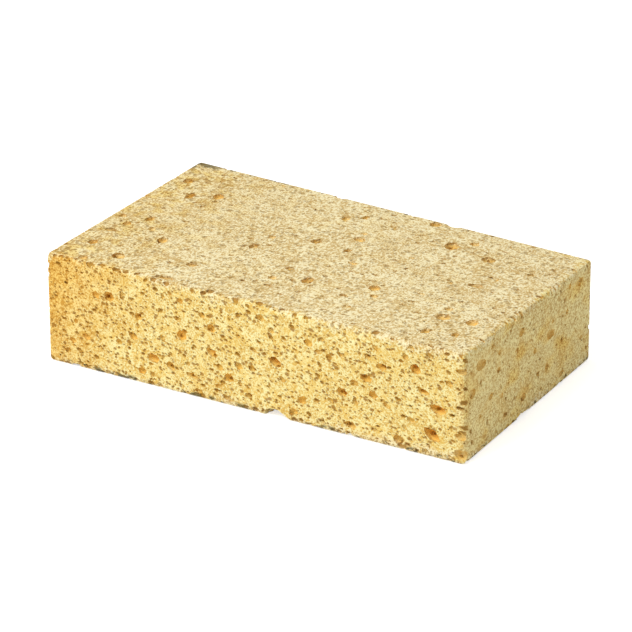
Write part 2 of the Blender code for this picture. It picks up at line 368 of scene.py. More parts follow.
class GeometryGraph(Graph):
    """A Geometry Nodes tree that takes a mesh and gives one back."""

    def __init__(self, name: str) -> None:
        """Starts the tree with its mesh socket at each end.

        Args:
            name: The tree's name.
        """
        super().__init__(bpy.data.node_groups.new(name, "GeometryNodeTree"))
        for way in ("INPUT", "OUTPUT"):
            self.tree.interface.new_socket("Geometry", in_out=way, socket_type="NodeSocketGeometry")
        self.start = self.tree.nodes.new("NodeGroupInput")
        self.end = self.tree.nodes.new("NodeGroupOutput")

    def named_input(self, name: str, kind: str) -> bpy.types.NodeSocket:
        """Adds an input to the tree.

        Args:
            name: The input's name.
            kind: The type of socket, such as Float.

        Returns:
            The socket that it is read from.
        """
        self.tree.interface.new_socket(name, in_out="INPUT", socket_type=f"NodeSocket{kind}")
        return self.start.outputs[name]

    def finish(self, mesh: bpy.types.NodeSocket, material: bpy.types.NodeSocket) -> None:
        """Ends the tree with its instances made real and its material set.

        Args:
            mesh: What the tree has made.
            material: The input that the material comes by.
        """
        real = self.node("GeometryNodeRealizeInstances", None, {0: mesh})
        painted = self.node("GeometryNodeSetMaterial", None,
                            {"Geometry": real.outputs[0], "Material": material})
        self.feed(self.end.inputs[0], painted.outputs[0])

    def put_on(self, piece: bpy.types.Object, values: dict) -> bpy.types.Modifier:
        """Puts the tree on a piece as a modifier.

        Args:
            piece: The object that gets it.
            values: What each named input is set to.

        Returns:
            The modifier.
        """
        modifier = piece.modifiers.new(self.tree.name, "NODES")
        modifier.node_group = self.tree
        for item in self.tree.interface.items_tree:
            if item.in_out == "INPUT" and item.name in values:
                modifier[item.identifier] = values[item.name]
        return modifier


@dataclass(frozen=True)
class PoreLayer:
    """One size of pore, cut all over the foam."""

    name: str
    spacing: float
    narrowest: float  # radius of the smallest pore
    widest: float
    sides: int
    rings: int
    on_sides: float  # how thickly they lie on the cut sides
    on_flats: float  # the same on the top and underside
    on_ends: float  # the same on the two ends
    on_edges: float  # the same along the block's edges
    ragged: float  # how far a rim strays, as a share of the widest radius
    depth: float  # against the radius
    sink: float  # how far a pore's middle lies under the face, against its depth
    seed: int

    def values(self, material: bpy.types.Material) -> dict:
        """Gives the layer's values under the names of the tree's inputs.

        Args:
            material: The material that the layer leaves on the foam.

        Returns:
            The value of each input.
        """
        return {
            "Spacing": self.spacing,
            "Narrowest": self.narrowest,
            "Widest": self.widest,
            "Sides": self.sides,
            "Rings": self.rings,
            "On sides": self.on_sides,
            "On flats": self.on_flats,
            "On ends": self.on_ends,
            "On edges": self.on_edges,
            "Ragged": self.ragged,
            "Depth": self.depth,
            "Sink": self.sink,
            "Seed": self.seed,
            "Material": material,
        }


class PoreCutter:
    """The Geometry Nodes tree that cuts one layer of pores."""

    GRAIN = (1.0, 0.3, -0.32)  # the pores are flattened bubbles that lie along this
    GRAIN_STRAY = 0.35
    LENGTHEN = 1.25
    NARROW = 0.78
    CROWDING = 2.5  # random points tried for each one that there is room for
    SMALL_BIAS = 1.7  # how much commoner the small pores of a layer are
    FACING = (0.5, 0.9)  # how squarely a face lies to count as one of a kind: not yet, and wholly
    MEAN = (0.5, 0.5, 0.5)  # what the pattern that roughens the walls is on the whole
    RADIUS_DRAW = 1  # what is added to the seed for each random number
    GRAIN_DRAWS = (2, 3, 4)

    def __init__(self) -> None:
        """Builds the tree."""
        graph = GeometryGraph("pore_layer")
        kinds = {
            "Spacing": "Float",
            "Narrowest": "Float",
            "Widest": "Float",
            "Sides": "Int",
            "Rings": "Int",
            "On sides": "Float",
            "On flats": "Float",
            "On ends": "Float",
            "On edges": "Float",
            "Ragged": "Float",
            "Depth": "Float",
            "Sink": "Float",
            "Seed": "Int",
            "Material": "Material",
        }
        given = {name: graph.named_input(name, kind) for name, kind in kinds.items()}
        self.graph = graph
        self.given = given
        solid = graph.start.outputs["Geometry"]
        points = self.scattered(solid)
        bubbles = self.bubbles_on(points)
        cut = graph.node("GeometryNodeMeshBoolean", {"operation": "DIFFERENCE", "solver": "MANIFOLD"})
        graph.feed(cut.inputs[0], solid)
        graph.feed(cut.inputs[1], self.roughened(bubbles))
        graph.finish(cut.outputs[0], given["Material"])

    def scattered(self, solid: bpy.types.NodeSocket) -> bpy.types.Node:
        """Scatters points over the faces, as thickly as the layer says for each kind of face.

        Args:
            solid: The mesh that the pores are cut into.

        Returns:
            The node that gives the points and the way that each one faces.
        """
        graph = self.graph
        normal = graph.node("GeometryNodeInputNormal").outputs[0]
        endward, _, upward = graph.parts(normal)
        thickly = abs(upward).ramp(*self.FACING, self.given["On sides"], self.given["On flats"])
        thickly = abs(endward).ramp(*self.FACING, thickly, self.given["On ends"])
        edge = graph.number("GeometryNodeInputNamedAttribute", 0, {"data_type": "FLOAT"},
                            {"Name": EDGE_ATTRIBUTE})
        thickly = thickly + edge * (Number(graph, self.given["On edges"]) - thickly)
        spacing = Number(graph, self.given["Spacing"])
        inputs = {
            "Mesh": solid,
            "Distance Min": spacing,
            "Density Max": self.CROWDING / (spacing * spacing),
            "Density Factor": thickly,
            "Seed": self.given["Seed"],
        }
        return graph.node("GeometryNodeDistributePointsOnFaces", {"distribute_method": "POISSON"}, inputs)

    def chance(self, low: float, high: float, more: int) -> Number:
        """Gives each point a random number.

        Args:
            low: The least that it may be.
            high: The most.
            more: What is added to the layer's seed, so that no two draws are alike.

        Returns:
            The random number.
        """
        inputs = {2: low, 3: high, "Seed": Number(self.graph, self.given["Seed"]) + more}
        return self.graph.number("FunctionNodeRandomValue", 1, {"data_type": "FLOAT"}, inputs)

    def bubbles_on(self, points: bpy.types.Node) -> bpy.types.NodeSocket:
        """Puts a flattened bubble on each point.

        Args:
            points: The node that scatters the points.

        Returns:
            The bubbles, as instances.
        """
        graph = self.graph
        radius = self.chance(0.0, 1.0, self.RADIUS_DRAW) ** self.SMALL_BIAS
        widest = Number(graph, self.given["Widest"])
        narrowest = Number(graph, self.given["Narrowest"])
        radius = narrowest + radius * (widest - narrowest)
        inputs = {0: radius * self.LENGTHEN, 1: radius * self.NARROW, 2: radius * self.given["Depth"]}
        size = graph.node("ShaderNodeCombineXYZ", None, inputs)
        ball = graph.node("GeometryNodeMeshUVSphere", None,
                          {"Segments": self.given["Sides"], "Rings": self.given["Rings"], "Radius": 1.0})
        stray = [self.chance(-self.GRAIN_STRAY, self.GRAIN_STRAY, more) + along
                 for more, along in zip(self.GRAIN_DRAWS, self.GRAIN)]
        grain = graph.node("ShaderNodeCombineXYZ", None, dict(enumerate(stray)))
        upright = graph.node("FunctionNodeAlignRotationToVector", {"axis": "Z"},
                             {"Vector": points.outputs["Normal"]})
        turned = graph.node("FunctionNodeAlignRotationToVector", {"axis": "X", "pivot_axis": "Z"},
                            {"Rotation": upright.outputs[0], "Vector": grain.outputs[0]})
        bubbles = graph.node("GeometryNodeInstanceOnPoints", None, {
            "Points": points.outputs["Points"],
            "Instance": ball.outputs[0],
            "Rotation": turned.outputs[0],
            "Scale": size.outputs[0],
        })
        down = graph.node("ShaderNodeCombineXYZ", None, {2: 0.0 - Number(graph, self.given["Sink"])})
        sunk = graph.node("GeometryNodeTranslateInstances", None,
                          {0: bubbles.outputs[0], "Translation": down.outputs[0], "Local Space": True})
        return sunk.outputs[0]

    def roughened(self, bubbles: bpy.types.NodeSocket) -> bpy.types.NodeSocket:
        """Makes the bubbles real and pushes their skins about.

        Args:
            bubbles: The instances.

        Returns:
            One mesh that holds them all.
        """
        graph = self.graph
        widest = Number(graph, self.given["Widest"])
        real = graph.node("GeometryNodeRealizeInstances", None, {0: bubbles})
        place = graph.node("GeometryNodeInputPosition").outputs[0]
        pattern = graph.node("ShaderNodeTexNoise", None,
                             {"Vector": place, "Scale": 1.0 / widest, "Detail": 0.0})
        middle = graph.node("ShaderNodeVectorMath", {"operation": "SUBTRACT"},
                            {0: pattern.outputs["Color"], 1: self.MEAN})
        push = graph.node("ShaderNodeVectorMath", {"operation": "SCALE"},
                          {0: middle.outputs[0], "Scale": widest * self.given["Ragged"]})
        moved = graph.node("GeometryNodeSetPosition", None, {0: real.outputs[0], "Offset": push.outputs[0]})
        return moved.outputs[0]


@dataclass(frozen=True)
class Patterns:
    """The patterns that the foam's colour and relief are made from, each from 0 to 1."""

    # the top and underside take paler tones, partly their nap's own tone and partly painted sheen
    flat: Number  # 1 on the top and underside
    end: Number  # 1 on the two ends
    left: Number  # 1 at the left-hand end of the block
    # painted shade along the lower and back edges and at the back left corner, and specks of dirt
    grime_and_shade: Number
    patches: Number
    clumps: Number
    nap: Number
    # the finest pores drawn as dark specks: their inner colour and painted shade in the holes
    specks: Number


@dataclass(frozen=True)
class GrimeAndShade:
    """Painted shade and dirt: painted shade in dark bits along the lower and back edges and on the dark back
    left corner, and stray specks of dirt.

    Each pair of lengths says how far from an edge that darkening ends, and within what distance it is full.
    """

    bits: Cloud = Cloud(2.6 * MM, 2.0, 17.0)
    bits_rim: tuple[float, float] = (0.54, 0.62)
    lower_in: tuple[float, float] = (4.5 * MM, 3.0 * MM)
    lower_up: tuple[float, float] = (2.6 * MM, 1.2 * MM)
    back_in: tuple[float, float] = (2.6 * MM, 1.4 * MM)
    back_down: tuple[float, float] = (4 * MM, 3 * MM)
    # painted shade along the lower and back edges
    edge_shade_strength: float = 0.8
    # painted shadow on the rounded back left corner
    nook_along: tuple[float, float] = (13 * MM, 7 * MM)
    nook_in: tuple[float, float] = (5.4 * MM, 3.4 * MM)
    nook_down: tuple[float, float] = (3.5 * MM, 2.0 * MM)
    nook_shade_strength: float = 0.75
    nook_bits: float = 0.2  # how much the bits add to it
    nook_stray: float = 9 * MM  # how far its rim strays
    tip_along: tuple[float, float] = (4.4 * MM, 2.8 * MM)
    tip_in: tuple[float, float] = (9 * MM, 5 * MM)
    specks: Spots = Spots(8 * MM, 0.11, 0.45)
    speck_strength: float = 0.85

    def on(self, graph: ShaderGraph, corner: Vector) -> Number:
        """Draws the painted shade and the dirt.

        Args:
            graph: The material's tree.
            corner: The far corner of the block.

        Returns:
            1 where the foam is darkened: painted shade along the edges and at the back left corner, and
                                          specks of dirt.
        """
        along, across, high = graph.parts(graph.place())
        from_left = corner.x + along
        from_back = corner.y - across
        from_top = corner.z - high
        from_sides = (corner.x - abs(along)).at_most(corner.y - abs(across))
        cloud = graph.cloud(self.bits)
        bits = cloud.ramp(*self.bits_rim)
        lower = from_sides.ramp(*self.lower_in) * high.ramp(*self.lower_up)
        back = from_back.ramp(*self.back_in) * from_top.ramp(*self.back_down)
        # painted shade along the lower and back edges
        edges = bits * lower.at_least(back) * self.edge_shade_strength
        stray = (cloud - graph.MEAN) * self.nook_stray
        from_left = from_left + stray
        from_back = from_back + stray
        # painted shadow on the rounded back left corner
        nook = from_left.ramp(*self.nook_along) * from_back.ramp(*self.nook_in)
        tip = from_left.ramp(*self.tip_along) * from_back.ramp(*self.tip_in)
        nook = nook.at_least(tip) * (from_top + stray).ramp(*self.nook_down)
        nook = nook * (bits * self.nook_bits + self.nook_shade_strength)
        specks = graph.spots(self.specks, graph.place())
        return edges.at_least(nook).at_least(specks * self.speck_strength)


@dataclass(frozen=True)
class FoamPatterns:
    """Draws the patterns of the foam.

    The top's tone, the ends' and the left-hand end's each fade in between a pair of lengths.
    """

    patches: Cloud = Cloud(7 * MM, 3.0, 1.0)
    clumps: Cloud = Cloud(1.6 * MM, 2.0, 5.0)
    nap: Cloud = Cloud(0.6 * MM, 2.0, 3.0)
    nap_lengths: Triple = (1.0, 1.25, 1.0)  # its fibres lie across the block
    wander: Cloud = Cloud(12 * MM, 2.0, 7.0)
    wander_reach: float = 12 * MM  # how far the rims between the tones stray
    clump_reach: float = 7 * MM
    past_left: float = 1.2 * MM  # how far down past each edge the top's tone reaches
    past_right: float = 0.5 * MM
    past_back: float = 1.5 * MM
    flat_fade: tuple[float, float] = (-2.0 * MM, 2.5 * MM)
    end_fade: tuple[float, float] = (-1.2 * MM, 1.8 * MM)
    left_fade: tuple[float, float] = (-25 * MM, -79 * MM)
    left_stray: float = 26 * MM
    left_lean: float = 0.5  # how far that tone draws back for each step down from the top
    # the finest pores, drawn as dark specks: their inner colour and painted shade in holes too small for the
    # mesh
    small_specks: Spots = Spots(1.25 * MM, 0.50)
    large_specks: Spots = Spots(2.2 * MM, 0.38)
    speck_lengths: Triple = (1.4, 1.4, 1.0)
    speck_turn: Triple = (0.0, math.radians(17), 0.0)
    slits: Spots = Spots(1.5 * MM, 0.50, 0.3)  # they take the specks' place on the ends
    slit_lengths: Triple = (1.0, 2.2, 0.8)
    slit_turn: Triple = (math.radians(34), 0.0, 0.0)
    grime_and_shade: GrimeAndShade = GrimeAndShade()

    def on(self, graph: ShaderGraph, corner: Vector) -> Patterns:
        """Draws the patterns.

        Args:
            graph: The material's tree.
            corner: The far corner of the block.

        Returns:
            The patterns.
        """
        along, across, high = graph.parts(graph.place())
        patches = graph.cloud(self.patches)
        clumps = graph.cloud(self.clumps)
        wander = (graph.cloud(self.wander) - graph.MEAN) * self.wander_reach
        wander = wander + (clumps - graph.MEAN) * self.clump_reach
        under_end = corner.x - abs(along)
        under_side = corner.y - abs(across)
        under_top = corner.z - high
        under_flat = under_top.at_most(high)
        rims = (corner.x + along + self.past_left).at_most(corner.x - along + self.past_right)
        rims = rims.at_most(corner.y + across).at_most(corner.y - across + self.past_back)
        flat = (rims - under_flat + wander).ramp(*self.flat_fade)
        end = (under_side.at_most(under_flat) - under_end + wander).ramp(*self.end_fade)
        leftward = along + (patches - graph.MEAN) * self.left_stray + under_top * self.left_lean
        grained = graph.stretched(self.speck_lengths, self.speck_turn)
        specks = graph.spots(self.small_specks, grained).at_least(graph.spots(self.large_specks, grained))
        slits = graph.spots(self.slits, graph.stretched(self.slit_lengths, self.slit_turn))
        return Patterns(
            flat=flat,
            end=end,
            left=leftward.ramp(*self.left_fade),
            grime_and_shade=self.grime_and_shade.on(graph, corner),
            patches=patches,
            clumps=clumps,
            nap=graph.cloud(self.nap, graph.stretched(self.nap_lengths)),
            specks=specks + (slits - specks) * end,
        )


@dataclass(frozen=True)
class Tones:
    """Two tones of one colour, which a pattern mixes."""

    light: Colour
    dark: Colour

    def mixed(self, graph: ShaderGraph, share: Number) -> bpy.types.NodeSocket:
        """Mixes them, all light where the share is 1."""
        return graph.blend(share, self.dark, self.light)


@dataclass(frozen=True)
class PoreColours:
    """The colours that a pore's wall takes on with depth, on the sides and on the paler faces."""

    # a wall grows darker and more orange with depth: partly the fresher cellulose inside, partly painted
    # shade and painted bounce light
    side_shallow: Colour
    side_deep: Colour
    pale_shallow: Colour
    pale_deep: Colour
    shallow_depths: tuple[float, float]  # where each colour starts and where it is full
    deep_depths: tuple[float, float]
    strength: float = 0.9

    def paint(self, graph: ShaderGraph, depth: Number, pale: Number,
              skin: bpy.types.NodeSocket) -> bpy.types.NodeSocket:
        """Colours the foam from its skin down.

        Args:
            graph: The material's tree.
            depth: How deep a point lies.
            pale: How much the face over it is one of the paler ones.
            skin: The colour of the faces.

        Returns:
            The colour.
        """
        shallow = graph.blend(pale, self.side_shallow, self.pale_shallow)
        deep = graph.blend(pale, self.side_deep, self.pale_deep)
        shallow = graph.blend(depth.ramp(*self.shallow_depths, 0.0, self.strength), skin, shallow)
        return graph.blend(depth.ramp(*self.deep_depths, 0.0, self.strength), shallow, deep)


@dataclass(frozen=True)
class FoamFinish:
    """The look of the foam: its colours, where they go, its relief and how rough it is."""

    name: str = "cellulose_foam"
    roughness: float = 0.95
    specular: float = 0.2
    side: Tones = Tones(linear(255, 246, 182), linear(226, 187, 97))
    side_yellow: Colour = linear(248, 210, 106)
    left: Tones = Tones(linear(252, 206, 100), linear(200, 136, 34))
    # the top's and underside's tones: partly the nap's own tone, partly painted sheen of the nap under light
    # from above
    flat: Tones = Tones(linear(255, 244, 200), linear(212, 183, 122))
    ochre: Tones = Tones(linear(252, 226, 144), linear(190, 146, 70))
    end: Tones = Tones(linear(255, 240, 174), linear(208, 174, 106))
    end_ochre: Tones = Tones(linear(255, 222, 116), linear(204, 148, 56))
    # painted light: a paler colour that lifts the shade in the wide pores on the ends
    end_wall: Colour = linear(250, 214, 128)
    # the colours of the finest pores' specks, darkened with painted shade
    side_speck: Colour = linear(158, 104, 24)
    flat_speck: Colour = linear(166, 134, 76)
    # the colour of the painted shade along the edges and at the back left corner, and of the specks of dirt
    grime_and_shade: Colour = linear(78, 70, 40)
    # the pores' depth colours: partly their own inner colour, partly painted shade and painted bounce light
    # in the recesses
    fine_pores: PoreColours = PoreColours(
        side_shallow=linear(200, 156, 60), side_deep=linear(182, 132, 42),
        pale_shallow=linear(190, 148, 78), pale_deep=linear(166, 120, 52),
        shallow_depths=(0.08 * MM, 0.55 * MM), deep_depths=(0.7 * MM, 1.8 * MM))
    wide_pores: PoreColours = PoreColours(
        side_shallow=linear(255, 216, 114), side_deep=linear(248, 179, 70),
        pale_shallow=linear(244, 210, 124), pale_deep=linear(238, 188, 92),
        shallow_depths=(0.3 * MM, 1.5 * MM), deep_depths=(1.2 * MM, 3.0 * MM))
    patterns: FoamPatterns = FoamPatterns()
    patch_weight: float = 0.6  # how much the patches and the nap count in the mottle, against the clumps
    nap_weight: float = 2.4
    mottle_range: tuple[float, float] = (0.41, 0.59)
    fleck_range: tuple[float, float] = (0.43, 0.57)  # the same on the top, which is crisper
    yellow: Cloud = Cloud(4 * MM, 2.0, 11.0)
    yellow_range: tuple[float, float] = (0.45, 0.65)
    yellow_on_side: float = 0.35
    left_on_side: float = 0.85
    ochre_on_flat: float = 0.3  # in yellow patches
    ochre_on_left: float = 0.4  # the same, added at the left-hand end
    ochre_over_left: float = 0.3  # between them too
    blotches: Cloud = Cloud(6 * MM, 1.0, 13.0)
    blotch_lengths: Triple = (1.0, 1.9, 1.0)
    blotch_range: tuple[float, float] = (0.50, 0.76)
    blotch_on_end: float = 0.75
    speck_strength: float = 0.8
    speck_loss: float = 0.15  # how much weaker the specks are on the top
    end_pale: float = 0.7  # how far the ends' pores are those of the paler faces
    # how much painted light the ends' wide pores take, against the skin's colour
    end_wall_share: float = 0.55  # how far the ends' wide pores differ from the skin
    bump_height: float = 0.25 * MM
    bump_strength: float = 0.9
    nap_relief: float = 0.8
    speck_relief: float = 0.8

    def make(self, corner: Vector) -> bpy.types.Material:
        """Builds the material.

        Args:
            corner: The far corner of the block, which stands on its middle.

        Returns:
            The material.
        """
        material = bpy.data.materials.new(self.name)
        material.use_nodes = True
        graph = ShaderGraph(material.node_tree)
        patterns = self.patterns.on(graph, corner)
        colour = self.pores(graph, patterns, self.skin(graph, patterns))
        height = patterns.nap * self.nap_relief - patterns.specks * self.speck_relief
        bump = graph.node("ShaderNodeBump", None, {
            "Strength": self.bump_strength,
            "Distance": self.bump_height,
            "Height": height,
        })
        shader = graph.node("ShaderNodeBsdfPrincipled", None, {
            "Base Color": colour,
            "Roughness": self.roughness,
            "Normal": bump.outputs[0],
            "Specular IOR Level": self.specular,
        })
        graph.node("ShaderNodeOutputMaterial", None, {"Surface": shader.outputs[0]})
        return material

    def skin(self, graph: ShaderGraph, patterns: Patterns) -> bpy.types.NodeSocket:
        """Colours the faces of the block.

        Args:
            graph: The material's tree.
            patterns: The patterns.

        Returns:
            The colour.
        """
        mottle = patterns.patches * self.patch_weight + patterns.clumps + patterns.nap * self.nap_weight
        mottle = mottle / (self.patch_weight + 1.0 + self.nap_weight)
        flecks = mottle.ramp(*self.fleck_range)
        mottle = mottle.ramp(*self.mottle_range)
        yellow = graph.cloud(self.yellow).ramp(*self.yellow_range)
        side = graph.blend(yellow * self.yellow_on_side, self.side.mixed(graph, mottle), self.side_yellow)
        side = graph.blend(patterns.left * self.left_on_side, side, self.left.mixed(graph, mottle))
        ochre = yellow * (self.ochre_on_flat + patterns.left * self.ochre_on_left)
        ochre = ochre + patterns.left * self.ochre_over_left
        # the paler top is partly painted sheen of its nap
        flat = graph.blend(ochre, self.flat.mixed(graph, flecks), self.ochre.mixed(graph, mottle))
        blotches = graph.cloud(self.blotches, graph.stretched(self.blotch_lengths))
        blotches = blotches.ramp(*self.blotch_range, 0.0, self.blotch_on_end)
        end = graph.blend(blotches, self.end.mixed(graph, mottle), self.end_ochre.mixed(graph, mottle))
        colour = graph.blend(patterns.flat, graph.blend(patterns.end, side, end), flat)
        # the finest pores as dark specks, partly painted shade
        speck = graph.blend(patterns.flat.at_least(patterns.end), self.side_speck, self.flat_speck)
        specks = patterns.specks * (self.speck_strength - patterns.flat * self.speck_loss)
        # painted shade along the edges and the corner, and the dirt specks, darken the colour
        return graph.blend(patterns.grime_and_shade, graph.blend(specks, colour, speck), self.grime_and_shade)

    def pores(self, graph: ShaderGraph, patterns: Patterns,
              skin: bpy.types.NodeSocket) -> bpy.types.NodeSocket:
        """Colours the walls of the pores.

        Args:
            graph: The material's tree.
            patterns: The patterns.
            skin: The colour of the faces.

        Returns:
            The colour of the foam.
        """
        depth = graph.number("ShaderNodeAttribute", "Fac", {"attribute_name": DEPTH_ATTRIBUTE})
        wide = graph.number("ShaderNodeAttribute", "Fac", {"attribute_name": WALL_ATTRIBUTE})
        pale = patterns.flat.at_least(patterns.end * self.end_pale)
        # pore walls darken with depth: partly their own inner colour, partly painted shade and painted
        # bounce light
        fine = self.fine_pores.paint(graph, depth, pale, skin)
        walls = self.wide_pores.paint(graph, depth, pale, skin)
        # painted light: the ends' wide pores take a paler colour that lifts their shade
        end_walls = graph.blend(self.end_wall_share, skin, self.end_wall)
        return graph.blend(wide, fine, graph.blend(patterns.end, walls, end_walls))


@dataclass(frozen=True)
class WallRounder:
    """Splits the walls of the wide pores more finely, and makes them round and uneven."""

    rough: float = 0.28 * MM  # how far a wall strays
    grain: float = 1.3 * MM  # how wide its unevenness is
    seed: int = 7
    bend: float = 1 / 8  # how far a wall's middle stands out, against the slopes at its ends
    near: int = 9  # how much more the near points of a rim count than the far ones
    broadest_turn: float = math.cos(math.radians(14))  # faces turned further from square are on an edge

    def rounded(self, block: bmesh.types.BMesh, skin: set[bmesh.types.BMFace], name: str) -> bpy.types.Mesh:
        """Makes the mesh with the finer walls.

        Args:
            block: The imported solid's mesh.
            skin: The faces of its skin, which keep their shape.
            name: The new mesh's name.

        Returns:
            The new mesh.
        """
        block.verts.index_update()
        bends = self.facing([face for face in block.faces if face not in skin])
        over = self.facing([face for face in block.faces if face in skin])
        places = [vert.co.copy() for vert in block.verts]
        middles: dict[frozenset[int], int] = {}
        for edge in block.edges:
            on_skin = [face in skin for face in edge.link_faces]
            if all(on_skin):
                continue
            first, last = (vert.index for vert in edge.verts)
            if any(on_skin):
                over[len(places)] = (over[first] + over[last]).normalized()
                place = self.rim_middle(edge, skin)
            else:
                place = self.wall_middle(edge, bends)
            middles[frozenset((first, last))] = len(places)
            places.append(place)
        noise.seed_set(self.seed)
        for index in [*bends, *middles.values()]:
            push = noise.noise_vector(places[index] / self.grain) * self.rough
            if index in over:
                push -= over[index] * push.dot(over[index])
            places[index] += push
        split = [(part, face) for face in block.faces for part in self.parts(face, middles)]
        mesh = bpy.data.meshes.new(name)
        mesh.from_pydata(places, [], [part for part, _ in split])
        marks = {
            EDGE_ATTRIBUTE: [self.edge_share(face) if face in skin else 0.0 for _, face in split],
            WALL_ATTRIBUTE: [float(face not in skin) for _, face in split],
        }
        for attribute, shares in marks.items():
            mesh.attributes.new(attribute, "FLOAT", "FACE").data.foreach_set("value", shares)
        return mesh

    def edge_share(self, face: bmesh.types.BMFace) -> float:
        """Gives 1 for a face of a rounded edge of the block, and 0 for one of its broad faces."""
        return float(max(abs(part) for part in face.normal) < self.broadest_turn)

    def facing(self, faces: list[bmesh.types.BMFace]) -> dict[int, Vector]:
        """Works out which way some faces look at each of their points.

        Args:
            faces: The faces.

        Returns:
            The normal at each point, by the point's number.
        """
        sums: dict[int, Vector] = {}
        for face in faces:
            for vert in face.verts:
                sums[vert.index] = sums.get(vert.index, Vector()) + face.normal * face.calc_area()
        return {index: total.normalized() for index, total in sums.items()}

    def wall_middle(self, edge: bmesh.types.BMEdge, bends: dict[int, Vector]) -> Vector:
        """Gives the middle of an edge as if the wall were round.

        Args:
            edge: An edge of a wall.
            bends: The normal at each point of the walls.

        Returns:
            The place for the point that halves the edge.
        """
        first, last = edge.verts
        along = last.co - first.co
        there = bends[last.index]
        here = bends[first.index]
        return (first.co + last.co) / 2 + (there * along.dot(there) - here * along.dot(here)) * self.bend

    def rim_middle(self, edge: bmesh.types.BMEdge, skin: set[bmesh.types.BMFace]) -> Vector:
        """Gives the middle of a rim's edge as if the rim were round.

        Args:
            edge: An edge between the skin and a wall.
            skin: The faces of the skin.

        Returns:
            The place for the point that halves the edge.
        """
        first, last = edge.verts
        beyond = []
        for vert in (first, last):
            onward = [other for other in vert.link_edges
                      if other is not edge and sum(face in skin for face in other.link_faces) == 1]
            if len(onward) != 1:
                return (first.co + last.co) / 2
            beyond.append(onward[0].other_vert(vert).co)
        return ((first.co + last.co) * self.near - beyond[0] - beyond[1]) / (2 * self.near - 2)

    def parts(self, face: bmesh.types.BMFace, middles: dict[frozenset[int], int]) -> list[list[int]]:
        """Splits a face at the middles of its edges.

        Args:
            face: A face of three sides.
            middles: The number of the point that halves an edge, by the edge's ends.

        Returns:
            The corners of each triangle that it is split into.
        """
        corners = [vert.index for vert in face.verts]
        ring: list[int] = []
        for here, there in zip(corners, corners[1:] + corners[:1]):
            ring.append(here)
            middle = middles.get(frozenset((here, there)))
            if middle is not None:
                ring.append(middle)
        halves = [index for index in ring if index not in corners]
        if len(halves) == 3:
            tips = [[ring[at - 1], ring[at], ring[at + 1]] for at in (0, 2, 4)]
            return [halves, *tips]
        if len(halves) == 2:
            lone = next(at for at in range(5) if ring[at - 1] in halves and ring[(at + 1) % 5] in halves)
            tip, after, far, near, before = (ring[(lone + step) % 5] for step in range(5))
            return [[before, tip, after], [after, far, before], [far, near, before]]
        if len(halves) == 1:
            at = ring.index(halves[0])
            middle, after, far, before = (ring[(at + step) % 4] for step in range(4))
            return [[middle, after, far], [middle, far, before]]
        return [corners]


